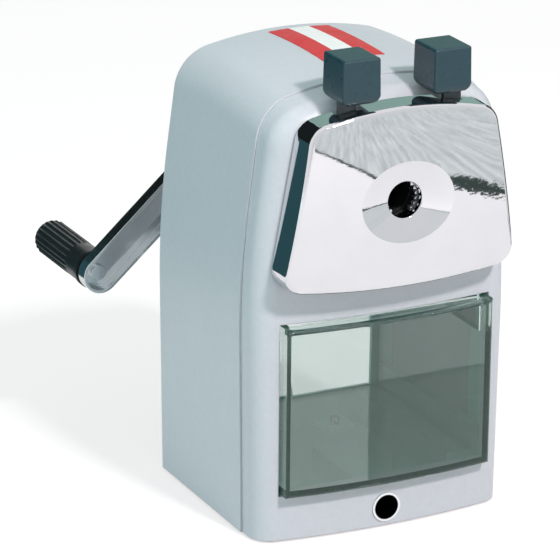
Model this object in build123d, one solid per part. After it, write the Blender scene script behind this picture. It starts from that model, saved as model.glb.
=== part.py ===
from build123d import *
import math
import os

# Hand-cranked desk pencil sharpener with a pull-out faceplate.
# Millimetres, +Z up, front facing -Y, origin on the table under the base.
# "left" and "right" are as seen from the front.

# Casing
casing_width = 68.4
foot_width = 66.2
casing_height = 111.5
casing_depth = 57.5
casing_front = -33.2
knee_drop = 43.0
side_taper = 7.6
crown_radius = 100.0
shoulder_radius = 11.0
knee_radius = 250.0
arch_radius = 230.0
arch_middle = 1.0
arch_reach = 25.0  # degrees
front_bow = 186.0
front_round = 5.8
front_inner_round = 3.5
rear_round = 1.8
seam_setback = 10.8
seam_gap = 0.06
seam_step = 0.45
lip_depth = 5.0
lip_gap = 0.15
shell_wall = 1.0
frame_wall = 2.2
front_wall = 3.9

# Base
pad_proud = 0.5
pad_thickness = 0.8
pad_half_width = 24.0
pad_margin = 8.3
base_floor = 3.0
base_gap = 0.2
rail_width = 2.0
rail_height_over_drawer = 7.0
screw_lug_half = 4.0
screw_lug_depth = 7.0
screw_lug_thickness = 1.2
screw_x = 13.0
screw_radius = 1.25
screw_head_radius = 2.4
screw_head_height = 1.4
screw_end = 1.5

# Table clamp socket
clamp_height = 4.74
clamp_radius = 3.0
clamp_wall = 0.7
clamp_length = 29.0
clamp_proud = 0.3
clamp_boss_half = 5.5
clamp_boss_roof = 1.3

# Shavings drawer
drawer_side_margin = 5.6
drawer_bottom_height = 11.9
drawer_height = 42.6
drawer_proud = 3.6
drawer_front_wall = 2.3
drawer_wall = 1.75
drawer_floor = 1.6
drawer_lip = 5.5
drawer_tray_drop = 9.4
drawer_rear_gap = 0.6
drawer_round = 1.2
drawer_clearance = 0.5
drawer_rail_gap = 0.15
rear_window_half = 24.6
rear_window_sill = 0.2

# Pencil axis and faceplate
axis_drop = 26.8
pencil_hole_radius = 4.4
pencil_hole_lip = 0.4
plate_side_margin = 4.0
plate_top_drop = 3.4
plate_height = 45.2
plate_taper = 9.5
plate_widest_height = 8.0
plate_crown_radius = 85.0
plate_foot_radius = 260.0
plate_top_corner = 6.0
plate_bottom_corner = 5.0
plate_gap = 0.5
plate_depth = 8.0
plate_dome = 190.0
plate_draft = 0.6
plate_edge_round = 1.3
plate_wall = 1.2
dish_half_width = 13.9
dish_half_height = 10.7
dish_depth = 2.1
back_plate_thickness = 1.0
back_plate_recess = 0.1
back_plate_fit = 0.5
back_plate_hole = 5.2
post_radius = 2.2
post_screw_radius = 0.9
post_screw_head = 1.8
post_screw_head_height = 0.8
post_screw_length = 4.0
upper_post_inset = 2.8
upper_post_drop = 7.9
lower_post_x = 15.5
lower_post_rise = 4.9

# Faceplate slide
rod_radius = 2.0
rod_inset = 8.9
rod_rise = 10.8
rod_head_radius = 2.6
rod_head_height = 1.2
rod_rear_gap = 1.5
rod_clip_setback = 3.0
rod_clip_thickness = 1.2
rod_clip_radius = 4.0
bush_radius = 3.2
bush_flange_radius = 4.2
bush_flange = 1.0
bush_length = 12.0
bush_recess = 0.25
running_gap = 0.05
seat_gap = 0.02
spring_wire_radius = 0.35
spring_radius = 2.9
spring_turns = 13

# Pencil guide
guide_wall = 1.6
guide_bore = 4.6
guide_flange_radius = 8.0
guide_flange = 1.3
guide_recess = 0.3
guide_end_gap = 0.7

# Squeeze levers and jaws
lever_thickness = 1.2
lever_gap = 0.2
lever_pivot_x = 7.5
lever_pivot_drop = 10.9
lever_pin_radius = 1.5
lever_pin_head_radius = 2.4
lever_pin_head = 0.8
lever_eye_radius = 3.9
lever_stem_inner = 11.5
lever_stem_outer = 16.0
lever_stem_in_tab = 5.0
lever_foot_drop = 9.7
lever_inner_x = 8.8
lever_waist_x = 12.4
lever_squeeze = 7.0
jaw_radius = 3.6
jaw_tooth = 0.75
jaw_teeth = 6
jaw_sweep = 112.0
jaw_thickness = 1.4
jaw_back_x = 12.6
jaw_half_height = 5.0
post_hook_radius = 0.8
post_hook_length = 2.3
post_hook_x = 10.6
hook_spring_radius = 1.3
hook_spring_wire_radius = 0.25
hook_spring_turns = 12
tab_center_x = 11.87
tab_half_width = 4.94
tab_depth = 11.2
tab_height = 11.2
tab_rise = 0.8
tab_draft = 0.15
tab_round = 0.7
tab_heel = 2.2
tab_back_overhang = 4.8
slot_gap = 0.4

# Cutter unit
cone_half_angle = 10.5
cone_tip_setback = 3.0
cutter_radius = 6.5
cutter_teeth = 16
cutter_tooth_depth = 0.8
cutter_front_length = 23.0
cutter_back_gap = 1.5
cutter_twist = 45.0
cutter_sections = 5
cutter_hub_radius = 3.0
cutter_hub_length = 1.3
cutter_end_play = 1.0
cutter_land_share = 0.25
cutter_gullet_share = 0.7
axle_radius = 1.5
pinion_teeth = 15
ring_teeth = 33
gear_face = 5.0
gear_setback = 3.5
gear_addendum = 0.75
gear_dedendum = 1.15
gear_backlash = 0.07
pressure_angle = 20.0
pinion_hub_radius = 2.6
pinion_hub_length = 1.6
ring_outer_radius = 13.5
carrier_radius = 18.12
carrier_disc = 3.6
carrier_disc_gap = 0.2
carrier_pencil_radius = 5.0
carrier_bar_half = 5.0
carrier_bar_inner = 6.5
carrier_bar_outer = 11.5
carrier_neck_half = 4.0
carrier_neck_inner = 2.0
carrier_neck_outer = 7.2
carrier_back_radius = 8.3
carrier_back_thickness = 2.7
carrier_bearing_gap = 0.08

# Gear housing
barrel_wall = 1.2
barrel_fit = 0.2
barrel_ring = 4.5
window_half = 15.0
window_drop = 7.0
flange_radius = 22.3
flange_thickness = 2.5
ear_radius = 4.0
ear_circle = 23.5
ear_screw_radius = 1.3
ear_screw_head_radius = 2.6
ear_screw_head_height = 1.8
ear_screw_length = 3.0
boss_radius = 16.0
boss_length = 5.5
nose_radius = 12.0
nose_length = 6.8
chamber_radius = 9.3
chamber_length = 5.0

# Crank
shaft_radius = 3.0
shaft_flange_radius = 7.0
shaft_flange = 0.7
shaft_stud_radius = 2.0
shaft_stud_length = 5.6
shaft_collar_radius = 4.0
shaft_end_play = 0.2
bush_wall = 1.6
bush_rim_radius = 6.0
bush_rim = 0.8
arm_length = 56.9
arm_rest_angle = 222.1
arm_hub_radius = 5.0
arm_end_radius = 4.75
arm_depth = 3.8
arm_wall = 0.8
arm_gap = 0.8
washer_radius = 4.2
washer_thickness = 0.6
nut_flats = 7.0
nut_height = 3.0
rivet_radius = 1.6
rivet_head_radius = 2.0
rivet_head_height = 1.0
rivet_collar_radius = 3.0
rivet_collar = 0.8
knob_pin_radius = 2.0
knob_pin_length = 23.0
knob_length = 28.8
knob_radius = 5.1
knob_collar_radius = 4.7
knob_foot_radius = 5.0
knob_foot = 1.4
knob_collar_length = 7.5
knob_end_round = 3.2
knob_ribs = 22
knob_groove = 0.45
knob_gap = 0.3

# Top sticker
label_left = -7.0
label_width = 16.3
label_front_gap = 11.8
label_rear_gap = 5.3
label_thickness = 0.15

# How far a cutting shape runs past the face that it cuts
past = 1.0

# Places worked out from the sizes above
half_width = casing_width / 2
foot_half = foot_width / 2
casing_rear = casing_front + casing_depth
casing_floor = pad_proud
casing_top = casing_floor + casing_height
knee_z = casing_top - knee_drop
arch_drop = casing_depth / 5
seam = casing_front + seam_setback
rear_inside = casing_rear - shell_wall
front_inside = casing_front + front_wall
base_bottom = pad_thickness
base_top = base_bottom + base_floor
base_half = foot_half - frame_wall - base_gap
screw_front_y = front_inside + screw_lug_depth / 2
screw_rear_y = rear_inside - screw_lug_depth / 2
clamp_z = casing_floor + clamp_height
drawer_half = foot_half - drawer_side_margin
drawer_bottom = casing_floor + drawer_bottom_height
drawer_top = drawer_bottom + drawer_height
drawer_front = casing_front - drawer_proud
drawer_rear = rear_inside - drawer_rear_gap
drawer_tray_top = drawer_top - drawer_tray_drop

axis_z = casing_top - axis_drop
plate_top = casing_top - plate_top_drop
plate_bottom = plate_top - plate_height
plate_half = half_width - plate_side_margin
plate_rim = casing_front - plate_gap
plate_apex = plate_rim - plate_depth
plate_skirt = plate_rim + plate_half**2 / (2 * front_bow) + past
dish_bottom = plate_apex + dish_depth
back_plate_rear = plate_rim - back_plate_recess
back_plate_front = back_plate_rear - back_plate_thickness
rod_x = plate_half - rod_inset
rod_z = plate_bottom + rod_rise
rod_end = rear_inside - rod_rear_gap
clip_front = rod_end - rod_clip_setback
wall_at_rod = casing_front + rod_x**2 / (2 * front_bow)
bush_front = wall_at_rod + bush_recess
bush_rear = bush_front + bush_length

lever_rear = back_plate_front - lever_gap
lever_front = lever_rear - lever_thickness
lever_pivot_z = plate_top - lever_pivot_drop
lever_foot_z = axis_z - lever_foot_drop
jaw_front = lever_front - jaw_thickness
tab_bottom = plate_top + tab_rise
tab_rear = plate_rim + tab_back_overhang
tab_front = tab_rear - tab_depth

cone_tan = math.tan(math.radians(cone_half_angle))
cone_cos = math.cos(math.radians(cone_half_angle))
cone_sin = math.sin(math.radians(cone_half_angle))
cone_tip = casing_rear - cone_tip_setback
apex_y = cone_tip + cutter_radius / cone_cos / cone_tan
ring_middle = casing_rear + gear_setback
ring_ratio = ring_teeth / pinion_teeth
pinion_cone = math.atan(cone_sin / (ring_ratio - cone_cos))
ring_cone = pinion_cone + math.radians(cone_half_angle)
ring_reach = apex_y - ring_middle
pinion_reach = ring_reach / math.cos(ring_cone) * math.cos(pinion_cone)
cutter_front_reach = (apex_y - cone_tip + cutter_front_length) / cone_cos
cutter_back_reach = pinion_reach + gear_face / 2 + cutter_back_gap
carrier_front = cone_tip - cutter_front_length - carrier_disc - cutter_hub_length - cutter_end_play
barrel_radius = carrier_radius + carrier_bearing_gap
barrel_outer = barrel_radius + barrel_wall
barrel_front = carrier_front - carrier_disc_gap
guide_outer = guide_bore + guide_wall
guide_rear = barrel_front - guide_end_gap
flange_rear = casing_rear + flange_thickness
boss_rear = flange_rear + boss_length
nose_rear = boss_rear + nose_length
ring_front = ring_middle - gear_face / 2
ring_rear = ring_middle + gear_face / 2
chamber_rear = ring_rear + chamber_length
shaft_front = chamber_rear - shaft_flange - carrier_disc_gap
carrier_back = shaft_front - carrier_back_thickness
bush_rim_rear = nose_rear + bush_rim
arm_front = bush_rim_rear + arm_gap
arm_rear = arm_front + arm_depth
arm_web = arm_rear - arm_wall
arm_turn = math.radians(arm_rest_angle)
rivet_x = arm_length * math.cos(arm_turn)
rivet_z = axis_z + arm_length * math.sin(arm_turn)
knob_front = arm_rear + rivet_collar + knob_gap


# Helpers

def facing_front(sketch, y, x=0.0, z=0.0):
    """Stand a flat sketch up at depth y: its x runs along X and its y along Z."""
    return Plane((x, y, z), x_dir=(1, 0, 0), z_dir=(0, -1, 0)) * sketch


def prism(sketch, front, rear, x=0.0, z=0.0):
    """Solid of a sketch between two depths."""
    return extrude(facing_front(sketch, rear, x, z), rear - front)


def disc(radius, front, rear, x=0.0, z=axis_z):
    return prism(Circle(radius), front, rear, x, z)


def tube(outer, inner, front, rear, x=0.0, z=axis_z):
    return prism(Circle(outer) - Circle(inner), front, rear, x, z)


def block(x_low, x_high, y_low, y_high, z_low, z_high):
    size = (x_high - x_low, y_high - y_low, z_high - z_low)
    middle = ((x_low + x_high) / 2, (y_low + y_high) / 2, (z_low + z_high) / 2)
    return Pos(*middle) * Box(*size)


def bowed(radius):
    """Upright cylinder that shares its axis with the casing's bowed front."""
    return Pos(0, casing_front + front_bow, casing_top / 2) * Cylinder(radius, 2 * casing_height)


def both_sides(shape):
    """The shape and its mirror image across the middle plane."""
    return shape + mirror(shape, about=Plane.YZ)


def group(shapes):
    """Separate solids kept in one node."""
    return Compound(children=[solid for shape in shapes for solid in shape.solids()])


def casing_profile(inset, bottom):
    """Front outline of the casing, drawn in by inset: widest at the knee, with a crowned top."""
    half = half_width - inset
    top = casing_top - inset
    lean = math.tan(math.radians(side_taper))
    reach = top + past
    narrow = half - (reach - knee_z) * lean
    right = [(foot_half - inset, bottom), (half, knee_z), (narrow, reach)]
    left = [(-x, z) for x, z in reversed(right)]
    outline = make_face(Polyline(*right, *left, close=True))
    outline = outline & (Pos(0, top - crown_radius) * Circle(crown_radius))
    rows = outline.vertices().group_by(Axis.Y)
    outline = fillet(rows[-1], shoulder_radius - inset)
    rows = outline.vertices().group_by(Axis.Y)
    return fillet(rows[1], knee_radius)


def casing_body(inset, front, rear, bottom):
    """Casing outline swept along the arched top between two depths, drawn in by inset."""
    axis = Axis((0, arch_middle, casing_top - arch_radius), (1, 0, 0))
    outline = facing_front(casing_profile(inset, casing_floor - arch_drop), arch_middle)
    ring = revolve(outline, axis, 2 * arch_reach)
    ring = Pos(*axis.position) * Rot(-arch_reach, 0, 0) * Pos(*-axis.position) * ring
    reach = casing_width
    return ring & block(-reach, reach, front, rear, bottom, casing_top + past)


def plate_profile(inset):
    """Front outline of the faceplate, drawn in by inset."""
    lean = math.tan(math.radians(plate_taper))
    widest = plate_bottom + plate_widest_height
    low = plate_bottom - past
    high = plate_top + past
    half = plate_half - inset / math.cos(math.radians(plate_taper))
    right = [(half + (widest - low) * lean, low), (half - (high - widest) * lean, high)]
    left = [(-x, z) for x, z in reversed(right)]
    outline = make_face(Polyline(*right, *left, close=True))
    crown = Pos(0, plate_top - inset - plate_crown_radius) * Circle(plate_crown_radius)
    foot = Pos(0, plate_bottom + inset + plate_foot_radius) * Circle(plate_foot_radius)
    outline = outline & crown & foot
    rows = outline.vertices().group_by(Axis.Y)
    outline = fillet(rows[-1], plate_top_corner - inset)
    rows = outline.vertices().group_by(Axis.Y)
    return fillet(rows[0], plate_bottom_corner - inset)


def gear_outline(teeth, pitch_radius, outward, inward, thicken):
    """Closed polygon of a spur gear with one tooth pointing up; thicken widens each tooth."""
    module = 2 * pitch_radius / teeth
    base = pitch_radius * math.cos(math.radians(pressure_angle))
    half_tooth = math.pi / (2 * teeth) + thicken / (2 * pitch_radius)

    def flank(radius):
        """Half angle of the involute tooth at a radius."""
        rolled = math.acos(min(1.0, base / radius))
        at_pitch = math.radians(pressure_angle)
        turn = (math.tan(rolled) - rolled) - (math.tan(at_pitch) - at_pitch)
        return half_tooth - turn

    radii = [pitch_radius - inward * module, pitch_radius, pitch_radius + outward * module]
    points = []
    for tooth in range(teeth):
        middle = math.pi / 2 + 2 * math.pi * tooth / teeth
        rising = [(radius, middle - flank(radius)) for radius in radii]
        falling = [(radius, middle + flank(radius)) for radius in reversed(radii)]
        points += [(r * math.cos(a), r * math.sin(a)) for r, a in rising + falling]
    return make_face(Polyline(*points, close=True))


def toothed_disc(radius, depth, teeth, turn):
    """Saw-toothed cutter section."""
    points = []
    for tooth in range(teeth):
        start = math.radians(turn) + 2 * math.pi * tooth / teeth
        land = start + 2 * math.pi / teeth * cutter_land_share
        gullet = start + 2 * math.pi / teeth * cutter_gullet_share
        for r, a in ((radius, start), (radius, land), (radius - depth, gullet)):
            points.append((r * math.cos(a), r * math.sin(a)))
    return make_face(Polyline(*points, close=True))


def coil(radius, wire_radius, length, turns):
    """Round wire wound along +Z from z = 0, each quarter turn made of two tangent arcs."""
    step = math.pi / 2
    climb = (length - 2 * wire_radius) / (turns * 2 * math.pi)

    def at(angle):
        rise = wire_radius + climb * angle
        return Vector(radius * math.cos(angle), radius * math.sin(angle), rise)

    def heading(angle):
        return Vector(-radius * math.sin(angle), radius * math.cos(angle), climb).normalized()

    arcs = []
    for quarter in range(4 * turns):
        start, end = at(step * quarter), at(step * (quarter + 1))
        leave, arrive = heading(step * quarter), heading(step * (quarter + 1))
        chord = end - start
        lean = chord.dot(leave + arrive)
        spread = 2 * (1 - leave.dot(arrive))
        reach = (math.sqrt(lean**2 + spread * chord.dot(chord)) - lean) / spread
        corner_in = start + leave * reach
        corner_out = end - arrive * reach
        joint = (corner_in + corner_out) * 0.5
        arcs.append(TangentArc(start, joint, tangent=leave))
        arcs.append(TangentArc(joint, end, tangent=corner_out - corner_in))
    path = Wire(arcs)
    section = Plane(at(0), x_dir=(1, 0, 0), z_dir=heading(0)) * Circle(wire_radius)
    least_gap = climb * 2 * math.pi - 2 * wire_radius
    print(f"coil of {turns} turns: least gap between turns {least_gap:.2f} mm")
    return sweep(section, path=path)


# Casing

def make_rear_shell():
    outer = casing_body(-seam_step, seam + seam_gap / 2, casing_rear, casing_floor)
    rear_edges = outer.faces().sort_by(Axis.Y)[-1].edges().sort_by(Axis.Z)[1:]
    outer = fillet(rear_edges, rear_round)
    room = casing_body(shell_wall, seam - past, rear_inside, casing_floor - past)
    shell = outer - room - disc(barrel_outer + barrel_fit, rear_inside - past, casing_rear + past)
    shell -= block(
        -rear_window_half,
        rear_window_half,
        rear_inside - past,
        casing_rear + past,
        drawer_bottom + drawer_floor - rear_window_sill,
        drawer_tray_top,
    )
    for x, z in ear_places():
        shell -= disc(ear_screw_radius + running_gap, rear_inside - past, casing_rear + past, x, z)
    for side in (-1, 1):
        shell += screw_lug(side * screw_x, rear_inside - screw_lug_depth, rear_inside + shell_wall / 2)
        shell -= upright_hole(side * screw_x, screw_rear_y, screw_radius + running_gap)
    return shell


def screw_lug(x, front, rear):
    """Bent tongue that a base screw bites into."""
    return block(x - screw_lug_half, x + screw_lug_half, front, rear, base_top, base_top + screw_lug_thickness)


def upright_hole(x, y, radius):
    height = base_top + screw_lug_thickness + 2 * screw_end
    return Pos(x, y, height / 2) * Cylinder(radius, height)


def make_front_frame():
    outer = casing_body(0, casing_front - past, seam - seam_gap / 2, casing_floor)
    outer = outer & bowed(front_bow)
    front_edges = outer.faces().sort_by(Axis.Y)[0].edges().sort_by(Axis.Z)[1:]
    outer = fillet(front_edges, front_round)
    room = casing_body(frame_wall, front_inside, seam + lip_depth + past, casing_floor - past)
    room_edges = room.faces().sort_by(Axis.Y)[0].edges().sort_by(Axis.Z)[1:]
    room = fillet(room_edges, front_inner_round)
    lip = casing_body(shell_wall + lip_gap, seam - lip_depth / 2, seam + lip_depth, casing_floor)
    frame = (outer - room) + (lip - room)
    frame -= block(
        -drawer_half - drawer_clearance,
        drawer_half + drawer_clearance,
        casing_front - past,
        front_inside + past,
        drawer_bottom - drawer_clearance,
        drawer_top + drawer_clearance,
    )
    frame -= disc(clamp_radius + clamp_wall + seat_gap, casing_front - past, front_inside + past, 0, clamp_z)
    frame -= disc(guide_outer + seat_gap, casing_front - past, front_inside + past)
    for side in (-1, 1):
        frame -= disc(bush_radius + seat_gap, casing_front - past, front_inside + past, side * rod_x, rod_z)
        frame += screw_lug(side * screw_x, front_inside - frame_wall / 2, front_inside + screw_lug_depth)
        frame -= upright_hole(side * screw_x, screw_front_y, screw_radius + running_gap)
    return frame


def make_pencil_guide():
    body = disc(guide_outer, casing_front + guide_recess, guide_rear)
    body += disc(guide_flange_radius, front_inside, front_inside + guide_flange)
    return body - disc(guide_bore, casing_front - past, guide_rear + past)


def make_rod_bush(side):
    body = disc(bush_radius, bush_front, bush_rear, side * rod_x, rod_z)
    body += disc(bush_flange_radius, front_inside, front_inside + bush_flange, side * rod_x, rod_z)
    return body - disc(rod_radius + running_gap, bush_front - past, bush_rear + past, side * rod_x, rod_z)


def make_top_label():
    front, rear = seam + label_front_gap, casing_rear - label_rear_gap
    sheet = casing_body(-seam_step - label_thickness, front, rear, axis_z)
    sheet -= casing_body(-seam_step, front - past, rear + past, axis_z - past)
    label_right = label_left + label_width
    return sheet & block(label_left, label_right, front, rear, axis_z, casing_top + past)


# Base

def make_base_tray():
    floor_plan = Rectangle(2 * base_half, rear_inside - front_inside - 2 * base_gap)
    floor_plan = fillet(floor_plan.vertices().group_by(Axis.Y)[0], front_inner_round + base_gap)
    middle = (rear_inside + front_inside) / 2
    tray = Pos(0, middle, base_bottom) * extrude(floor_plan, base_floor)
    guide_x = drawer_half + drawer_clearance
    rail_front = front_inside + base_gap + front_inner_round
    rail_rear = rear_inside - base_gap
    rail_top = drawer_bottom - drawer_rail_gap
    guide_top = drawer_bottom + rail_height_over_drawer
    rail = block(guide_x - 4 * rail_width, guide_x, rail_front, rail_rear, base_top, rail_top)
    rail += block(guide_x, guide_x + rail_width, rail_front, rail_rear, base_top, guide_top)
    tray += both_sides(rail)
    boss_top = clamp_z + clamp_radius + clamp_wall + clamp_boss_roof
    tray += block(
        -clamp_boss_half,
        clamp_boss_half,
        front_inside + base_gap,
        casing_front + clamp_length,
        base_bottom,
        boss_top,
    )
    socket_end = casing_front + clamp_length
    tray -= disc(clamp_radius + clamp_wall + seat_gap, casing_front, socket_end + past, 0, clamp_z)
    for x, y in screw_places():
        tray -= upright_hole(x, y, screw_radius + running_gap)
        head = Cylinder(screw_head_radius + base_gap, 2 * (base_bottom + screw_head_height))
        tray -= Pos(x, y, 0) * head
    return tray


def screw_places():
    return [(side * screw_x, y) for y in (screw_front_y, screw_rear_y) for side in (-1, 1)]


def make_base_screws():
    screws = []
    for x, y in screw_places():
        head = Cylinder(screw_head_radius, screw_head_height, align=(Align.CENTER, Align.CENTER, Align.MIN))
        length = base_floor + screw_lug_thickness + screw_end
        shank = Cylinder(screw_radius, length, align=(Align.CENTER, Align.CENTER, Align.MIN))
        screws.append(Pos(x, y, base_bottom) * (head + shank))
    return group(screws)


def make_base_pad():
    front = screw_front_y + pad_margin / 2
    rear = screw_rear_y - pad_margin / 2
    plan = RectangleRounded(2 * pad_half_width, rear - front, 2 * rail_width)
    return Pos(0, (front + rear) / 2, 0) * extrude(plan, pad_thickness)


def make_clamp_socket():
    outer = clamp_radius + clamp_wall
    return tube(outer, clamp_radius, casing_front - clamp_proud, casing_front + clamp_length, 0, clamp_z)


# Drawer

def make_drawer():
    front_reach = front_bow + drawer_proud
    outer = block(-drawer_half, drawer_half, drawer_front - past, drawer_rear, drawer_bottom, drawer_top)
    outer = outer & bowed(front_reach)
    outer = fillet(outer.faces().sort_by(Axis.Y)[0].edges(), drawer_round)
    inner = drawer_half - drawer_wall
    inside_rear = drawer_rear - drawer_wall
    lip_rear = drawer_front + drawer_lip
    floor = drawer_bottom + drawer_floor
    roof = drawer_top - drawer_wall
    room = block(-inner, inner, drawer_front, inside_rear, floor, roof) & bowed(front_reach - drawer_front_wall)
    room += block(-inner, inner, lip_rear, inside_rear, floor, drawer_top + past)
    tray_cut = block(
        -drawer_half - past,
        drawer_half + past,
        lip_rear + drawer_wall,
        drawer_rear + past,
        drawer_tray_top,
        drawer_top + past,
    )
    return outer - room - tray_cut


# Faceplate and slide

def domed(profile_inset, wall):
    """Faceplate block from its skirt to its domed front, drawn in by an inset."""
    reach = plate_apex - past
    wide = facing_front(plate_profile(profile_inset), plate_skirt)
    narrow = facing_front(plate_profile(profile_inset + plate_draft), reach)
    dome = Pos(0, plate_apex + plate_dome, axis_z) * Sphere(plate_dome - wall)
    return loft([narrow, wide], ruled=True) & dome


def dish(wall):
    """Tapered elliptical hollow around the pencil hole, larger by a wall."""
    mouth = plate_apex - 2 * past
    flare = (dish_bottom - mouth) / dish_depth
    half_width_there = pencil_hole_radius + (dish_half_width - pencil_hole_radius) * flare
    half_height_there = pencil_hole_radius + (dish_half_height - pencil_hole_radius) * flare
    outer = facing_front(Ellipse(half_width_there + wall, half_height_there + wall), mouth, 0, axis_z)
    inner = facing_front(Circle(pencil_hole_radius + wall), dish_bottom + wall, 0, axis_z)
    return loft([outer, inner], ruled=True)


def post_places():
    upper_x = plate_half - (plate_height - plate_widest_height) * math.tan(math.radians(plate_taper))
    upper = (upper_x - upper_post_inset, plate_top - upper_post_drop)
    lower = (lower_post_x, plate_bottom + lower_post_rise)
    return [(side * x, z) for x, z in (upper, lower) for side in (-1, 1)]


def make_faceplate():
    outer = domed(0, 0)
    front_edges = outer.faces().sort_by(Axis.Y)[0].edges()
    outer = fillet(front_edges, plate_edge_round)
    outer -= dish(0)
    room = domed(plate_wall, plate_wall) - dish(plate_wall)
    plate = outer - room - bowed(front_bow + plate_gap)
    plate -= disc(pencil_hole_radius, plate_apex - past, plate_rim)
    circles = plate.edges().filter_by(GeomType.CIRCLE)
    hole_edges = circles.filter_by(lambda edge: abs(edge.radius - pencil_hole_radius) < seat_gap)
    plate = fillet(hole_edges.sort_by(Axis.Y)[0], pencil_hole_lip)
    for x, z in post_places():
        post = disc(post_radius, plate_apex, back_plate_front, x, z) & domed(plate_wall / 2, plate_wall / 2)
        plate += post
        bite = back_plate_front - post_screw_length
        plate -= disc(post_screw_radius, bite, back_plate_front + past, x, z)
    travel = math.sin(math.radians(lever_squeeze)) * lever_pivot_drop
    slot = block(
        lever_stem_inner - travel - slot_gap,
        lever_stem_outer + slot_gap,
        lever_front - slot_gap,
        plate_rim + past,
        lever_pivot_z + lever_eye_radius,
        plate_top + past,
    )
    return plate - both_sides(slot)


def make_back_plate():
    plate = prism(plate_profile(plate_wall + back_plate_fit), back_plate_front, back_plate_rear)
    plate -= disc(back_plate_hole, plate_apex, plate_rim)
    for x, z in post_places():
        plate -= disc(post_screw_radius + running_gap, plate_apex, plate_rim, x, z)
    for side in (-1, 1):
        plate -= disc(rod_radius + seat_gap, plate_apex, plate_rim, side * rod_x, rod_z)
        plate -= disc(lever_pin_radius + seat_gap, plate_apex, plate_rim, side * lever_pivot_x, lever_pivot_z)
    return plate


def make_back_plate_screws():
    screws = []
    for x, z in post_places():
        bite = back_plate_front - post_screw_length + 2 * seat_gap
        shank = disc(post_screw_radius - seat_gap, bite, back_plate_rear, x, z)
        head = disc(post_screw_head, back_plate_rear, back_plate_rear + post_screw_head_height, x, z)
        screws.append(shank + head)
    return group(screws)


def make_guide_rod(side):
    rod = disc(rod_radius, back_plate_front, rod_end, side * rod_x, rod_z)
    head_front = back_plate_front - rod_head_height
    return rod + disc(rod_head_radius, head_front, back_plate_front, side * rod_x, rod_z)


def make_rod_clips():
    rear = clip_front + rod_clip_thickness
    bore = rod_radius + seat_gap
    return group([tube(rod_clip_radius, bore, clip_front, rear, side * rod_x, rod_z) for side in (-1, 1)])


def make_return_spring(side):
    wound = coil(spring_radius, spring_wire_radius, clip_front - bush_rear, spring_turns)
    return Plane((side * rod_x, bush_rear, rod_z), x_dir=(1, 0, 0), z_dir=(0, 1, 0)) * wound


# Squeeze levers

def make_lever(side):
    stem_top = tab_bottom + lever_stem_in_tab
    foot = lever_foot_z - post_hook_radius * 2
    outline = Polygon(
        (lever_stem_inner, stem_top),
        (lever_stem_inner, lever_pivot_z + lever_eye_radius),
        (lever_pivot_x - lever_eye_radius, lever_pivot_z),
        (lever_inner_x, axis_z),
        (lever_inner_x, foot),
        (lever_waist_x, foot),
        (lever_waist_x, axis_z),
        (lever_pivot_x + lever_eye_radius, lever_pivot_z),
        (lever_stem_outer, lever_pivot_z + lever_eye_radius),
        (lever_stem_outer, stem_top),
        align=None,
    )
    eye = Pos(lever_pivot_x, lever_pivot_z) * Circle(lever_eye_radius)
    lever = prism(outline + eye, lever_front, lever_rear)
    lever -= disc(lever_pin_radius + running_gap, plate_apex, plate_rim, lever_pivot_x, lever_pivot_z)
    lever += disc(post_hook_radius, lever_front - post_hook_length, lever_rear, post_hook_x, lever_foot_z)
    return lever if side > 0 else mirror(lever, about=Plane.YZ)


def make_jaw(side):
    step = math.radians(jaw_sweep) / jaw_teeth
    start = math.radians(jaw_sweep) / 2
    inner = []
    for tooth in range(jaw_teeth + 1):
        angle = start - step * tooth
        inner.append(((jaw_radius + jaw_tooth) * math.cos(angle), (jaw_radius + jaw_tooth) * math.sin(angle)))
        if tooth < jaw_teeth:
            tip = angle - step / 2
            inner.append((jaw_radius * math.cos(tip), jaw_radius * math.sin(tip)))
    outer = [(jaw_back_x, -jaw_half_height), (jaw_back_x, jaw_half_height)]
    outline = Polygon(*inner, *outer, align=None)
    jaw = prism(outline, jaw_front, lever_front, 0, axis_z)
    return jaw if side > 0 else mirror(jaw, about=Plane.YZ)


def make_tab(side):
    foot = Rectangle(2 * tab_half_width, tab_depth)
    head = Rectangle(2 * (tab_half_width - tab_draft), tab_depth - 2 * tab_draft)
    body = loft([foot, Pos(0, 0, tab_height) * head], ruled=True)
    body = fillet(body.edges().sort_by(Axis.Z)[4:], tab_round)
    body = fillet(body.faces().sort_by(Axis.Z)[0].edges().sort_by(Axis.Y)[-1], tab_heel)
    body = Pos(tab_center_x, (tab_front + tab_rear) / 2, tab_bottom) * body
    pocket = block(
        lever_stem_inner - seat_gap,
        lever_stem_outer + seat_gap,
        lever_front - seat_gap,
        lever_rear + seat_gap,
        tab_bottom - past,
        tab_bottom + lever_stem_in_tab + seat_gap,
    )
    tab = body - pocket
    return tab if side > 0 else mirror(tab, about=Plane.YZ)


def make_lever_pins():
    pins = []
    for side in (-1, 1):
        head_rear = lever_front - lever_gap
        pin = disc(lever_pin_radius, head_rear, back_plate_rear, side * lever_pivot_x, lever_pivot_z)
        head_front = head_rear - lever_pin_head
        pins.append(pin + disc(lever_pin_head_radius, head_front, head_rear, side * lever_pivot_x, lever_pivot_z))
    return group(pins)


def make_jaw_spring():
    reach = 2 * (post_hook_x - post_hook_radius - hook_spring_wire_radius)
    wound = coil(hook_spring_radius, hook_spring_wire_radius, reach, hook_spring_turns)
    depth = lever_front - post_hook_length + hook_spring_radius / 2
    return Plane((-reach / 2, depth, lever_foot_z), x_dir=(0, 1, 0), z_dir=(1, 0, 0)) * wound


# Cutter unit

cutter_plane = Plane((0, apex_y, axis_z), x_dir=(1, 0, 0), z_dir=(0, -cone_cos, cone_sin))


def along_cutter(sketch, near, far):
    """Solid on the tilted cutter axis between two distances from the gear apex."""
    return extrude(cutter_plane.offset(near) * sketch, far - near)


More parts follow.
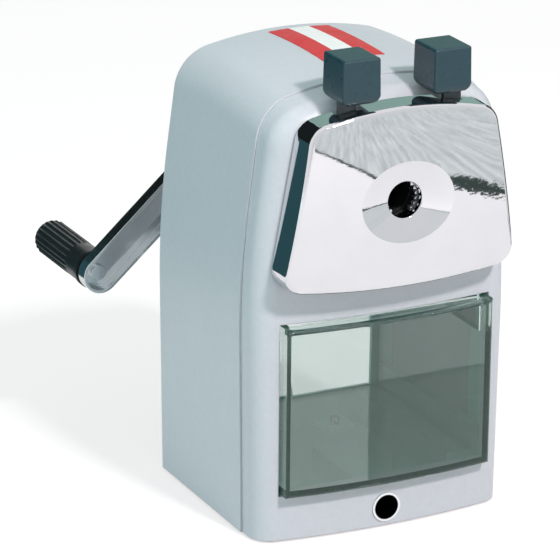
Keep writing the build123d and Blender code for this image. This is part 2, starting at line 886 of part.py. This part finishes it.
def make_cutter():
    sections = []
    for index in range(cutter_sections):
        share = index / (cutter_sections - 1)
        reach = cutter_back_reach + share * (cutter_front_reach - cutter_back_reach)
        sketch = toothed_disc(cutter_radius, cutter_tooth_depth, cutter_teeth, share * cutter_twist)
        sections.append(cutter_plane.offset(reach) * sketch)
    body = loft(sections, ruled=True)
    hub = Circle(cutter_hub_radius)
    body += along_cutter(hub, pinion_reach + gear_face / 2, cutter_back_reach)
    body += along_cutter(hub, cutter_front_reach, cutter_front_reach + cutter_hub_length)
    return body - along_cutter(Circle(axle_radius + running_gap), 0, apex_y - carrier_front)


def make_cutter_pinion():
    sections = []
    for reach in (pinion_reach - gear_face / 2, pinion_reach + gear_face / 2):
        pitch = reach * math.tan(pinion_cone)
        outline = gear_outline(pinion_teeth, pitch, gear_addendum, gear_dedendum, -gear_backlash)
        sections.append(cutter_plane.offset(reach) * outline)
    pinion = loft(sections, ruled=True)
    near = pinion_reach - gear_face / 2 - pinion_hub_length
    pinion += along_cutter(Circle(pinion_hub_radius), near, pinion_reach)
    return pinion - along_cutter(Circle(axle_radius + running_gap), 0, apex_y - carrier_front)


def make_ring_gear():
    blank = disc(ring_outer_radius, ring_front, ring_rear)
    sections = []
    for y in (ring_front - past, ring_rear + past):
        pitch = (apex_y - y) * math.tan(ring_cone)
        outline = gear_outline(ring_teeth, pitch, gear_dedendum, gear_addendum, gear_backlash)
        sections.append(facing_front(outline, y, 0, axis_z))
    return blank - loft(sections, ruled=True)


def make_cutter_axle():
    near = (apex_y - shaft_front) / cone_cos + axle_radius * cone_tan
    far = (apex_y - carrier_front) / cone_cos - axle_radius * cone_tan
    return along_cutter(Circle(axle_radius), near, far)


def make_cutter_carrier():
    carrier = disc(carrier_radius, carrier_front, carrier_front + carrier_disc)
    neck_front = ring_front - gear_backlash - carrier_bar_half / 2
    bar_rear = ring_front - 2 * carrier_disc_gap
    carrier += block(
        -carrier_bar_half,
        carrier_bar_half,
        carrier_front,
        bar_rear,
        axis_z - carrier_bar_outer,
        axis_z - carrier_bar_inner,
    )
    carrier += block(
        -carrier_neck_half,
        carrier_neck_half,
        neck_front,
        carrier_back + carrier_back_thickness / 2,
        axis_z - carrier_neck_outer,
        axis_z - carrier_neck_inner,
    )
    carrier += disc(carrier_back_radius, carrier_back, shaft_front)
    carrier -= disc(carrier_pencil_radius, carrier_front - past, carrier_front + carrier_disc + past)
    return carrier - along_cutter(Circle(axle_radius + seat_gap), 0, apex_y - barrel_front + past)


# Gear housing

def ear_places():
    turns = (math.radians(angle) for angle in (30.0, 150.0, 270.0))
    return [(ear_circle * math.cos(turn), axis_z + ear_circle * math.sin(turn)) for turn in turns]


def make_gear_housing():
    housing = disc(barrel_outer, barrel_front, casing_rear)
    housing += disc(flange_radius, casing_rear, flange_rear)
    for x, z in ear_places():
        housing += disc(ear_radius, casing_rear, flange_rear, x, z)
    housing += disc(boss_radius, flange_rear, boss_rear)
    housing += disc(nose_radius, boss_rear, nose_rear)
    housing -= disc(barrel_radius, barrel_front - past, casing_rear)
    housing -= disc(ring_outer_radius + seat_gap, casing_rear - past, ring_rear)
    housing -= disc(chamber_radius, ring_rear - past, chamber_rear)
    housing -= disc(shaft_radius + bush_wall + seat_gap, chamber_rear - past, nose_rear + past)
    housing -= block(
        -window_half,
        window_half,
        barrel_front + barrel_ring,
        rear_inside - shell_wall,
        axis_z - 2 * barrel_outer,
        axis_z - window_drop,
    )
    for x, z in ear_places():
        housing -= disc(ear_screw_radius + running_gap, casing_rear - past, flange_rear + past, x, z)
    return housing


def make_housing_screws():
    screws = []
    for x, z in ear_places():
        head = disc(ear_screw_head_radius, flange_rear, flange_rear + ear_screw_head_height, x, z)
        screws.append(head + disc(ear_screw_radius, rear_inside - ear_screw_length, flange_rear, x, z))
    return group(screws)


def make_shaft_bush():
    outer = shaft_radius + bush_wall
    bush = disc(outer, chamber_rear, bush_rim_rear)
    bush += disc(bush_rim_radius, nose_rear, bush_rim_rear)
    return bush - disc(shaft_radius + running_gap, chamber_rear - past, bush_rim_rear + past)


# Crank

def make_crank_shaft():
    shaft = disc(shaft_flange_radius, shaft_front, shaft_front + shaft_flange)
    shaft += disc(shaft_radius, shaft_front, arm_web)
    shaft += disc(shaft_collar_radius, bush_rim_rear + shaft_end_play, arm_web)
    return shaft + disc(shaft_stud_radius, arm_web, arm_web + arm_wall + shaft_stud_length)


def arm_outline(inset):
    """Tapered bar with round ends, from the shaft to the knob rivet."""
    lean = math.asin((arm_hub_radius - arm_end_radius) / arm_length)
    hub = arm_hub_radius - inset
    end = arm_end_radius - inset
    lower = [(hub * math.sin(lean), -hub * math.cos(lean))]
    lower.append((arm_length + end * math.sin(lean), -end * math.cos(lean)))
    upper = [(x, -y) for x, y in reversed(lower)]
    bar = Polygon(*lower, *upper, align=None)
    return Rot(0, 0, arm_rest_angle) * (bar + Circle(hub) + Pos(arm_length, 0) * Circle(end))


def make_crank_arm():
    arm = prism(arm_outline(0), arm_front, arm_rear, 0, axis_z)
    arm -= prism(arm_outline(arm_wall), arm_front - past, arm_web, 0, axis_z)
    arm -= disc(shaft_stud_radius + seat_gap, arm_web - past, arm_rear + past)
    return arm - disc(rivet_radius + seat_gap, arm_web - past, arm_rear + past, rivet_x, rivet_z)


def make_crank_washer():
    return tube(washer_radius, shaft_stud_radius + seat_gap, arm_rear, arm_rear + washer_thickness)


def make_crank_nut():
    front = arm_rear + washer_thickness
    hexagon = RegularPolygon(nut_flats / 2, 6, major_radius=False)
    return prism(hexagon - Circle(shaft_stud_radius + seat_gap), front, front + nut_height, 0, axis_z)


def make_knob_rivet():
    rivet = disc(rivet_head_radius, arm_web - rivet_head_height, arm_web, rivet_x, rivet_z)
    rivet += disc(rivet_radius, arm_web, arm_rear, rivet_x, rivet_z)
    rivet += disc(rivet_collar_radius, arm_rear, arm_rear + rivet_collar, rivet_x, rivet_z)
    return rivet + disc(knob_pin_radius, arm_rear, knob_front + knob_pin_length, rivet_x, rivet_z)


def make_knob():
    ribs_start = knob_collar_length
    flat_end = knob_radius - knob_end_round
    outline = Polyline(
        (0, 0),
        (knob_foot_radius, 0),
        (knob_foot_radius, knob_foot),
        (knob_collar_radius, knob_foot + knob_foot / 2),
        (knob_collar_radius, ribs_start),
        (knob_radius, knob_length - knob_end_round),
    )
    corner = (knob_radius, knob_length - knob_end_round)
    crown = RadiusArc(corner, (flat_end, knob_length), -knob_end_round)
    close = Polyline((flat_end, knob_length), (0, knob_length), (0, 0))
    knob = revolve(make_face([outline, crown, close]), Axis.Y)
    groove = Pos(knob_radius + knob_groove / 2, (ribs_start + knob_length) / 2 + past, 0)
    groove = groove * Rot(90, 0, 0) * Cylinder(2 * knob_groove, knob_length - ribs_start + 2 * past)
    for rib in range(knob_ribs):
        knob -= Rot(0, 360 * rib / knob_ribs, 0) * groove
    bore = Cylinder(
        knob_pin_radius + running_gap,
        knob_pin_length + knob_gap,
        align=(Align.CENTER, Align.CENTER, Align.MIN),
    )
    knob -= Rot(-90, 0, 0) * bore
    return Pos(rivet_x, knob_front, rivet_z) * knob


def make_all():
    nodes = {
        "rear_shell": make_rear_shell(),
        "front_frame": make_front_frame(),
        "pencil_guide": make_pencil_guide(),
        "top_label": make_top_label(),
        "base_tray": make_base_tray(),
        "base_screws": make_base_screws(),
        "base_pad": make_base_pad(),
        "clamp_socket": make_clamp_socket(),
        "drawer": make_drawer(),
        "faceplate": make_faceplate(),
        "back_plate": make_back_plate(),
        "back_plate_screws": make_back_plate_screws(),
        "rod_clips": make_rod_clips(),
        "lever_pins": make_lever_pins(),
        "jaw_spring": make_jaw_spring(),
        "cutter": make_cutter(),
        "cutter_pinion": make_cutter_pinion(),
        "cutter_axle": make_cutter_axle(),
        "cutter_carrier": make_cutter_carrier(),
        "ring_gear": make_ring_gear(),
        "gear_housing": make_gear_housing(),
        "housing_screws": make_housing_screws(),
        "shaft_bush": make_shaft_bush(),
        "crank_shaft": make_crank_shaft(),
        "crank_arm": make_crank_arm(),
        "crank_washer": make_crank_washer(),
        "crank_nut": make_crank_nut(),
        "knob_rivet": make_knob_rivet(),
        "knob": make_knob(),
    }
    for name, side in (("left", -1), ("right", 1)):
        nodes[f"rod_bush_{name}"] = make_rod_bush(side)
        nodes[f"guide_rod_{name}"] = make_guide_rod(side)
        nodes[f"return_spring_{name}"] = make_return_spring(side)
        nodes[f"lever_{name}"] = make_lever(side)
        nodes[f"jaw_{name}"] = make_jaw(side)
        nodes[f"tab_{name}"] = make_tab(side)
    return nodes


os.makedirs("parts", exist_ok=True)
for node, shape in make_all().items():
    export_step(shape, f"parts/{node}.step")
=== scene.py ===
"""Looks of the hand-cranked pencil sharpener: finishes, studio and camera, in metres."""

import math

import bpy
from mathutils import Matrix, Vector


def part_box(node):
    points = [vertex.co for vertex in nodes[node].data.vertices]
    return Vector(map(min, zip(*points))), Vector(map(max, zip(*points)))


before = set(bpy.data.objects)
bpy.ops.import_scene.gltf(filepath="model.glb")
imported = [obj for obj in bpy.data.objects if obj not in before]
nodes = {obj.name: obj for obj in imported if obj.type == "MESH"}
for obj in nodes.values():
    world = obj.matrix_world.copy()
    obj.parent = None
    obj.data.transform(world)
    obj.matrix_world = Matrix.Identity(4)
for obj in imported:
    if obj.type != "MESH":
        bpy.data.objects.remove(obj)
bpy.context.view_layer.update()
scene = bpy.context.scene


# Node helpers

# Noise lies mostly between these two numbers.
noise_low, noise_high = 0.3, 0.7

# Places of a Mix node's colour sockets: factor, first and second colour, and the result.
mix_inputs = (0, 6, 7)
mix_output = 2


def linear(red, green, blue):
    """A display colour, 0 to 255, as the linear colour that a shader takes."""
    channels = []
    for value in (red, green, blue):
        value = value / 255
        channels.append(value / 12.92 if value <= 0.04045 else ((value + 0.055) / 1.055) ** 2.4)
    return (*channels, 1.0)


def shaded(colour, factor):
    """A linear colour made darker or lighter."""
    return (*[min(1.0, channel * factor) for channel in colour[:3]], 1.0)


class Nodes:
    """A node tree being put together."""

    def __init__(self, tree):
        self.tree = tree
        tree.nodes.clear()

    def add(self, kind, **settings):
        """A new node with its settings."""
        node = self.tree.nodes.new(kind)
        for key, value in settings.items():
            setattr(node, key, value)
        return node

    def link(self, start, end):
        """Links a socket to an input, or sets the input if start is a plain value."""
        if isinstance(start, bpy.types.NodeSocket):
            self.tree.links.new(start, end)
        else:
            end.default_value = start

    def sum(self, operation, *values):
        """The result of a Math node on numbers or sockets."""
        node = self.add("ShaderNodeMath", operation=operation)
        for value, socket in zip(values, node.inputs):
            self.link(value, socket)
        return node.outputs["Value"]

    def below(self, value, limit):
        """One where a value is under a limit, else nought."""
        return self.sum("LESS_THAN", value, limit)

    def above(self, value, limit):
        """One where a value is over a limit, else nought."""
        return self.sum("GREATER_THAN", value, limit)

    def all_of(self, first, *others):
        """One where every mask is one, else nought."""
        for other in others:
            first = self.sum("MULTIPLY", first, other)
        return first

    def away(self, value, middle, half):
        """The square of a value's distance from a middle, where one is the distance half."""
        offset = self.sum("DIVIDE", self.sum("SUBTRACT", value, middle), half)
        return self.sum("POWER", offset, 2.0)

    def blend(self, factor, first, second):
        """A colour between two colours or colour sockets."""
        node = self.add("ShaderNodeMix", data_type="RGBA")
        for value, place in zip((factor, first, second), mix_inputs):
            self.link(value, node.inputs[place])
        return node.outputs[mix_output]

    def axes(self, vector):
        """The X, Y and Z of a vector."""
        node = self.add("ShaderNodeSeparateXYZ")
        self.link(vector, node.inputs["Vector"])
        return node.outputs["X"], node.outputs["Y"], node.outputs["Z"]

    def noise(self, vector, size, detail=3.0, stretch=None):
        """Noise whose features are about size metres across, stretched along the axes if asked."""
        node = self.add("ShaderNodeTexNoise")
        node.inputs["Scale"].default_value = 1 / size
        node.inputs["Detail"].default_value = detail
        if stretch:
            mapping = self.add("ShaderNodeMapping")
            mapping.inputs["Scale"].default_value = stretch
            self.link(vector, mapping.inputs["Vector"])
            vector = mapping.outputs["Vector"]
        self.link(vector, node.inputs["Vector"])
        return node.outputs["Fac"]

    def spread(self, factor, low, high, start=noise_low, end=noise_high):
        """A number that runs from low to high as the factor goes from start to end."""
        node = self.add("ShaderNodeMapRange")
        ends = {"From Min": start, "From Max": end, "To Min": low, "To Max": high}
        for key, value in ends.items():
            node.inputs[key].default_value = value
        self.link(factor, node.inputs["Value"])
        return node.outputs["Result"]

    def seen_by(self, *kinds):
        """One for rays of these kinds, else nought."""
        path = self.add("ShaderNodeLightPath")
        total = path.outputs[f"Is {kinds[0]} Ray"]
        for kind in kinds[1:]:
            total = self.sum("MAXIMUM", total, path.outputs[f"Is {kind} Ray"])
        return total

    def glow(self, colour, strength=1.0):
        """A shader that gives off light of a colour."""
        node = self.add("ShaderNodeEmission")
        self.link(colour, node.inputs["Color"])
        self.link(strength, node.inputs["Strength"])
        return node.outputs["Emission"]

    def choice(self, factor, first, second):
        """The first shader where the factor is nought, and the second where it is one."""
        node = self.add("ShaderNodeMixShader")
        for value, socket in zip((factor, first, second), node.inputs):
            self.link(value, socket)
        return node.outputs["Shader"]

    def show(self, shader, kind="ShaderNodeOutputMaterial"):
        """Makes a shader the tree's result."""
        self.link(shader, self.add(kind).inputs["Surface"])


class Finish(Nodes):
    """A material made of a Principled shader and its textures."""

    def __init__(self, name, roughness, metallic=0.0):
        self.material = bpy.data.materials.new(name)
        self.material.use_nodes = True
        super().__init__(self.material.node_tree)
        self.output = self.add("ShaderNodeOutputMaterial")
        self.shader = self.add("ShaderNodeBsdfPrincipled")
        self.link(self.shader.outputs["BSDF"], self.output.inputs["Surface"])
        self.set(Roughness=roughness, Metallic=metallic)
        self.place = self.add("ShaderNodeTexCoord").outputs["Object"]
        self.normal = None

    def set(self, **sockets):
        """Sets inputs of the shader, whose names have underscores for spaces."""
        for key, value in sockets.items():
            self.shader.inputs[key.replace("_", " ")].default_value = value

    def shades(self, colour, size, amount):
        """A colour that drifts lighter and darker by amount over patches of a size."""
        ramp = self.add("ShaderNodeValToRGB")
        first, last = ramp.color_ramp.elements
        first.position, first.color = noise_low, shaded(colour, 1 - amount)
        last.position, last.color = noise_high, shaded(colour, 1 + amount)
        self.link(self.noise(self.place, size), ramp.inputs["Fac"])
        return ramp.outputs["Color"]

    def tint(self, colour):
        """Links a colour socket to the shader."""
        self.link(colour, self.shader.inputs["Base Color"])

    def mottle(self, colour, size, amount):
        """Gives the shader a colour that drifts by amount over patches of a size."""
        self.tint(self.shades(colour, size, amount))

    def wear(self, size, low, high, stretch=None):
        """Roughness that varies between low and high over patches of a size."""
        factor = self.noise(self.place, size, 4.0, stretch)
        self.link(self.spread(factor, low, high), self.shader.inputs["Roughness"])

    def rounded(self, radius):
        """Edges shaded as if rounded by a radius."""
        bevel = self.add("ShaderNodeBevel", samples=6)
        bevel.inputs["Radius"].default_value = radius
        self.normal = bevel.outputs["Normal"]
        self.link(self.normal, self.shader.inputs["Normal"])

    def relief(self, size, height, detail=2.0, stretch=None):
        """Bump of a height in metres on top of the normal so far."""
        bump = self.add("ShaderNodeBump")
        bump.inputs["Distance"].default_value = height
        self.link(self.noise(self.place, size, detail, stretch), bump.inputs["Height"])
        if self.normal:
            self.link(self.normal, bump.inputs["Normal"])
        self.normal = bump.outputs["Normal"]
        self.link(self.normal, self.shader.inputs["Normal"])


def give(finish, *names):
    """Puts a finish on CAD nodes."""
    for name in names:
        for slot in nodes[name].material_slots:
            slot.material = finish.material


# Finishes

# Grey paint outside. Inside the casing, round the drawer, a pale primer shows, painted paler and
# greener than its own colour as painted light that stands in for light reaching the inside.
inside_half_width = 0.0322
inside_front, inside_back = -0.028, 0.0236
inside_top = 0.06
paint = Finish("casing_paint", 0.36)
paint_x, paint_y, paint_z = paint.axes(paint.place)
inside = paint.all_of(
    paint.below(paint.sum("ABSOLUTE", paint_x), inside_half_width),
    paint.above(paint_y, inside_front),
    paint.below(paint_y, inside_back),
    paint.below(paint_z, inside_top),
)
outside_coat = paint.shades(linear(203, 203, 210), size=0.0012, amount=0.02)
# Painted light: the primer colour is pushed pale and green so the inside looks lit through the drawer.
primer_and_painted_light = paint.shades(linear(196, 240, 228), size=0.004, amount=0.03)
paint.tint(paint.blend(inside, outside_coat, primer_and_painted_light))
paint.wear(size=0.004, low=0.33, high=0.42)
paint.rounded(radius=0.0004)
paint.relief(size=0.0011, height=0.00002)
give(paint, "rear_shell", "front_frame")

chrome = Finish("chrome_plate", 0.05, 1.0)
chrome.mottle(linear(219, 218, 222), size=0.01, amount=0.02)
chrome.wear(size=0.008, low=0.015, high=0.04)
chrome.relief(size=0.0016, height=0.0000015, stretch=(1.0, 1.0, 2.2))
give(chrome, "faceplate", "guide_rod_left", "guide_rod_right")

# A bright rim round a bore painted dark as the shade inside the deep hole.
socket_bore = 0.00315
rim_roughness, bore_roughness = 0.12, 0.45
socket = Finish("chrome_socket", rim_roughness, 1.0)
socket_x, _, socket_z = socket.axes(socket.place)
socket_low, socket_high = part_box("clamp_socket")
socket_middle = (socket_low.z + socket_high.z) / 2
from_axis = socket.sum(
    "ADD",
    socket.away(socket_x, 0.0, socket_bore),
    socket.away(socket_z, socket_middle, socket_bore),
)
bore = socket.below(from_axis, 1.0)
# Painted shade: the inside of the bore is coloured near black for the shade that fills it.
painted_bore_shade = socket.shades(linear(22, 26, 26), size=0.003, amount=0.2)
rim = socket.shades(linear(235, 238, 240), size=0.003, amount=0.03)
socket.tint(socket.blend(bore, rim, painted_bore_shade))
socket_roughness = socket.spread(bore, rim_roughness, bore_roughness, start=0.0, end=1.0)
socket.link(socket_roughness, socket.shader.inputs["Roughness"])
socket.relief(size=0.0008, height=0.000004)
give(socket, "clamp_socket")

plated = Finish("plated_sheet", 0.14, 1.0)
plated.mottle(linear(208, 213, 215), size=0.006, amount=0.04)
plated.wear(size=0.003, low=0.1, high=0.2, stretch=(1.0, 1.0, 0.3))
plated.rounded(radius=0.0003)
plated.relief(size=0.0006, height=0.000005, detail=3.0, stretch=(0.2, 1.0, 1.0))
give(plated, "crank_arm", "knob_rivet")

jaws = Finish("jaw_steel", 0.32, 1.0)
jaws.mottle(linear(232, 236, 240), size=0.003, amount=0.04)
jaws.wear(size=0.001, low=0.28, high=0.4)
jaws.relief(size=0.0004, height=0.000004)
give(jaws, "jaw_left", "jaw_right")

# The levers are coloured near black.
dark_lever = Finish("lever_steel", 0.34)
dark_lever.mottle(linear(40, 48, 52), size=0.003, amount=0.08)
dark_lever.wear(size=0.002, low=0.28, high=0.42)
dark_lever.relief(size=0.0006, height=0.000008)
give(dark_lever, "lever_left", "lever_right")

steel = Finish("bright_steel", 0.22, 1.0)
steel.mottle(linear(205, 207, 209), size=0.004, amount=0.05)
steel.wear(size=0.002, low=0.16, high=0.32)
steel.relief(size=0.0004, height=0.000005)
give(
    steel, "base_screws", "back_plate", "back_plate_screws", "rod_clips", "lever_pins",
    "jaw_spring", "cutter_axle", "housing_screws", "crank_shaft", "crank_washer", "crank_nut",
    "return_spring_left", "return_spring_right",
)

tool = Finish("tool_steel", 0.3, 1.0)
tool.mottle(linear(150, 152, 156), size=0.003, amount=0.08)
tool.wear(size=0.001, low=0.22, high=0.4, stretch=(1.0, 0.15, 1.0))
tool.relief(size=0.0003, height=0.000006)
give(tool, "cutter", "cutter_pinion")

alloy = Finish("carrier_alloy", 0.46, 1.0)
alloy.mottle(linear(176, 178, 180), size=0.004, amount=0.06)
alloy.wear(size=0.0015, low=0.4, high=0.55)
alloy.relief(size=0.0007, height=0.00003)
give(alloy, "cutter_carrier")

brass = Finish("bush_brass", 0.28, 1.0)
brass.mottle(linear(205, 168, 92), size=0.003, amount=0.06)
brass.wear(size=0.001, low=0.22, high=0.36)
brass.relief(size=0.0004, height=0.000008)
give(brass, "shaft_bush", "rod_bush_left", "rod_bush_right")

moulding = Finish("black_moulding", 0.48)
moulding.mottle(linear(34, 36, 38), size=0.005, amount=0.1)
moulding.wear(size=0.002, low=0.42, high=0.56)
moulding.relief(size=0.0005, height=0.000025)
give(moulding, "pencil_guide", "ring_gear", "gear_housing")

# Grey-green base tray, its colour pushed paler and greener as painted light that stands in for light
# seen on it through the drawer.
moulding_and_painted_light = Finish("base_moulding", 0.5)
moulding_and_painted_light.mottle(linear(168, 206, 196), size=0.005, amount=0.05)
moulding_and_painted_light.wear(size=0.003, low=0.42, high=0.58)
moulding_and_painted_light.relief(size=0.0006, height=0.00002)
give(moulding_and_painted_light, "base_tray")

charcoal = Finish("tab_plastic", 0.3)
charcoal.set(Specular_IOR_Level=0.4)
charcoal.mottle(linear(38, 64, 73), size=0.004, amount=0.05)
charcoal.wear(size=0.002, low=0.26, high=0.34)
charcoal.relief(size=0.0009, height=0.000004)
give(charcoal, "tab_left", "tab_right")

black = Finish("knob_plastic", 0.34)
black.mottle(linear(28, 31, 33), size=0.004, amount=0.1)
black.wear(size=0.002, low=0.28, high=0.42)
black.relief(size=0.0005, height=0.000012)
give(black, "knob")

rubber = Finish("pad_rubber", 0.75)
rubber.mottle(linear(46, 46, 47), size=0.004, amount=0.1)
rubber.wear(size=0.002, low=0.68, high=0.84)
rubber.relief(size=0.0007, height=0.00006, detail=4.0)
give(rubber, "base_pad")

# Clear plastic, made smoky by what its thickness absorbs.
smoke = Finish("smoke_plastic", 0.02)
smoke.set(IOR=1.49, Transmission_Weight=1.0)
smoke.set(Sheen_Weight=0.14, Sheen_Roughness=0.7, Sheen_Tint=(0.45, 1.0, 0.8, 1.0))
smoke.mottle(linear(247, 249, 248), size=0.01, amount=0.01)
smoke.wear(size=0.006, low=0.0, high=0.03)
smoke.relief(size=0.009, height=0.00002, detail=1.0)
murk = smoke.add("ShaderNodeVolumeAbsorption")
murk.inputs["Color"].default_value = (0.12, 0.34, 0.3, 1.0)
murk.inputs["Density"].default_value = 82.0
smoke.link(murk.outputs["Volume"], smoke.output.inputs["Volume"])
give(smoke, "drawer")

# A blank band between two red stripes.
stripe_width = 0.0054
label = Finish("label", 0.42)
label_x = label.axes(label.place)[0]
label_low, label_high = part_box("top_label")
label_middle = (label_low.x + label_high.x) / 2
label_half = (label_high.x - label_low.x) / 2
band = label.sum("COMPARE", label_x, label_middle, label_half - stripe_width)
ink = label.shades(linear(214, 42, 49), size=0.002, amount=0.06)
blank = label.shades(linear(242, 239, 238), size=0.002, amount=0.03)
label.tint(label.blend(band, ink, blank))
label.wear(size=0.003, low=0.36, high=0.5)
label.relief(size=0.0008, height=0.000012)
give(label, "top_label")


# Studio

backdrop_rays = ("Camera", "Glossy", "Transmission")

world = bpy.data.worlds.new("studio")
scene.world = world
world.use_nodes = True
sky = Nodes(world.node_tree)


def backdrop(colour, strength):
    """The shader of a plain world background."""
    node = sky.add("ShaderNodeBackground")
    node.inputs["Color"].default_value = (*colour, 1.0)
    node.inputs["Strength"].default_value = strength
    return node.outputs["Background"]


fill = backdrop((0.84, 1.0, 0.98), strength=0.64)
white = backdrop((1.0, 1.0, 1.0), strength=1.0)
sky.show(sky.choice(sky.seen_by(*backdrop_rays), fill, white), "ShaderNodeOutputWorld")


def sheet(name, corners):
    """A flat four-cornered stage sheet with its own material, and that material's nodes."""
    mesh = bpy.data.meshes.new(name)
    mesh.from_pydata(corners, [], [(0, 1, 2, 3)])
    piece = bpy.data.objects.new(name, mesh)
    scene.collection.objects.link(piece)
    material = bpy.data.materials.new(name)
    material.use_nodes = True
    mesh.materials.append(material)
    return piece, Nodes(material.node_tree)


def card(name, corners, colour):
    """A studio card that only mirrors and gloss can see."""
    piece, surface = sheet(name, corners)
    surface.show(surface.glow((*colour, 1.0)))
    piece.visible_camera = False
    piece.visible_diffuse = False
    piece.visible_transmission = False
    piece.visible_shadow = False


def facing(y, left, right, low, high):
    """Corners of an upright card that stands across the depth axis."""
    return [(left, y, low), (right, y, low), (right, y, high), (left, y, high)]


def sideways(x, front, back, low, high):
    """Corners of an upright card that stands across the width axis."""
    return [(x, front, low), (x, back, low), (x, back, high), (x, front, high)]


# White paper, lit from within for the camera, mirrors and clear plastic
floor_half = 1.3
floor_grey = (0.45, 0.45, 0.45, 1.0)
floor_glow = (1.0, 0.93, 0.935, 1.0)
floor_glow_strength = 0.62
floor, ground = sheet("floor", [
    (-floor_half, -floor_half, 0), (floor_half, -floor_half, 0),
    (floor_half, floor_half, 0), (-floor_half, floor_half, 0),
])
matte = ground.add("ShaderNodeBsdfDiffuse")
matte.inputs["Color"].default_value = floor_grey
strength = ground.sum("MULTIPLY", ground.seen_by(*backdrop_rays), floor_glow_strength)
paper = ground.add("ShaderNodeAddShader")
ground.link(matte.outputs["BSDF"], paper.inputs[0])
ground.link(ground.glow(floor_glow, strength), paper.inputs[1])

# Past the paper's edge, mirrors see a grained grey table, a dark edge line and a dark speckled corner.
paper_edge = 0.197
edge_turn = -0.372
lean_slope, lean_start = 0.078, 0.159
edge_line_width = 0.007
corner_x, corner_y = 0.198, -0.258
corner_half_width, corner_half_depth = 0.02, 0.075
corner_reach = 1.4
speckle_size, speckle_depth = 0.006, 1.6
grain_size, grain_turn = 0.007, math.radians(17)
grain_stretch = (1.0, 0.04, 1.0)
grain_dark, grain_light = (0.62, 0.67, 0.67, 1.0), (0.94, 1.0, 1.0, 1.0)
mark_colour = (0.06, 0.085, 0.075, 1.0)

spot = ground.add("ShaderNodeNewGeometry").outputs["Position"]
spot_x, spot_y, _ = ground.axes(spot)
leaning_edge = ground.sum("MULTIPLY_ADD", spot_y, lean_slope, lean_start)
lean = ground.sum("SUBTRACT", leaning_edge, paper_edge)
lean = ground.sum("MULTIPLY", ground.below(spot_y, edge_turn), lean)
past_edge = ground.sum("SUBTRACT", spot_x, ground.sum("ADD", lean, paper_edge))
off_paper = ground.above(past_edge, 0.0)
edge_line = ground.all_of(off_paper, ground.below(past_edge, edge_line_width))

speckle = ground.spread(ground.noise(spot, speckle_size, 4.0), 0.0, speckle_depth)
from_corner = ground.sum(
    "ADD",
    ground.away(spot_x, corner_x, corner_half_width),
    ground.away(spot_y, corner_y, corner_half_depth),
)
dark_corner = ground.below(ground.sum("ADD", from_corner, speckle), corner_reach)

turned = ground.add("ShaderNodeMapping", vector_type="TEXTURE")
turned.inputs["Rotation"].default_value = (0, 0, grain_turn)
ground.link(spot, turned.inputs["Vector"])
grain = ground.noise(turned.outputs["Vector"], grain_size, 2.0, grain_stretch)
table = ground.blend(ground.spread(grain, 0.0, 1.0), grain_dark, grain_light)
table = ground.blend(ground.sum("MAXIMUM", edge_line, dark_corner), table, mark_colour)
beyond = ground.sum("MAXIMUM", off_paper, dark_corner)
in_mirrors = ground.all_of(beyond, ground.seen_by("Glossy"))
ground.show(ground.choice(in_mirrors, paper.outputs["Shader"], ground.glow(table)))

card("room_card", facing(y=-1.3, left=-2.0, right=2.0, low=0.0, high=1.6), (0.83, 0.86, 0.87))
card("left_card", facing(y=0.15, left=-0.45, right=-0.03, low=0.0, high=0.1), (0.03, 0.085, 0.1))
card("corner_card", facing(y=0.15, left=-0.45, right=-0.03, low=0.1, high=0.4), (0.012, 0.016, 0.016))
card("back_card", facing(y=0.15, left=-0.03, right=0.35, low=0.12, high=0.35), (0.3, 0.46, 0.41))
card("right_card", sideways(x=0.25, front=-0.05, back=0.3, low=0.0, high=0.25), (0.015, 0.025, 0.025))

lamp_aim = Vector((0, 0, 0.06))


def softbox(name, direction, reach, size, level, colour, mirrored=True):
    """A square area lamp aimed at the object, with its level of light on a surface that faces it."""
    lamp = bpy.data.lights.new(name, "AREA")
    lamp.shape = "SQUARE"
    lamp.size = size
    lamp.color = colour
    lamp.energy = level * (math.pi * reach) ** 2
    piece = bpy.data.objects.new(name, lamp)
    scene.collection.objects.link(piece)
    direction = Vector(direction).normalized()
    piece.location = lamp_aim + reach * direction
    piece.rotation_euler = (-direction).to_track_quat("-Z", "Y").to_euler()
    piece.visible_glossy = mirrored


softbox(
    "key_lamp", direction=(0.12, -0.7, 0.7),
    reach=1.1, size=0.1, level=0.64, colour=(1.0, 0.95, 0.96),
)
softbox(
    "front_lamp", direction=(0.1, -0.98, 0.15),
    reach=1.2, size=0.5, level=0.07, colour=(1.0, 0.97, 0.96), mirrored=False,
)
softbox(
    "side_lamp", direction=(-0.95, -0.1, 0.3),
    reach=1.2, size=0.6, level=0.24, colour=(0.6, 1.0, 1.0), mirrored=False,
)


# Camera

azimuth, elevation, roll = math.radians(-26.45), math.radians(19.56), math.radians(0.55)
distance = 0.88827
target = Vector((-0.01267, 0, 0.05452))
back = Vector((
    math.sin(azimuth) * math.cos(elevation),
    -math.cos(azimuth) * math.cos(elevation),
    math.sin(elevation),
))
level_across = Vector((math.cos(azimuth), math.sin(azimuth), 0))
level_up = back.cross(level_across)
across = math.cos(roll) * level_across + math.sin(roll) * level_up
up = math.cos(roll) * level_up - math.sin(roll) * level_across
eye = target + distance * back
view = bpy.data.cameras.new("camera")
view.sensor_width = 36.0
view.lens = 234.63
view.clip_start = 0.01
camera = bpy.data.objects.new("camera", view)
scene.collection.objects.link(camera)
camera.matrix_world = Matrix((
    (across.x, up.x, back.x, eye.x),
    (across.y, up.y, back.y, eye.y),
    (across.z, up.z, back.z, eye.z),
    (0, 0, 0, 1),
))
scene.camera = camera

scene.view_settings.view_transform = "Standard"
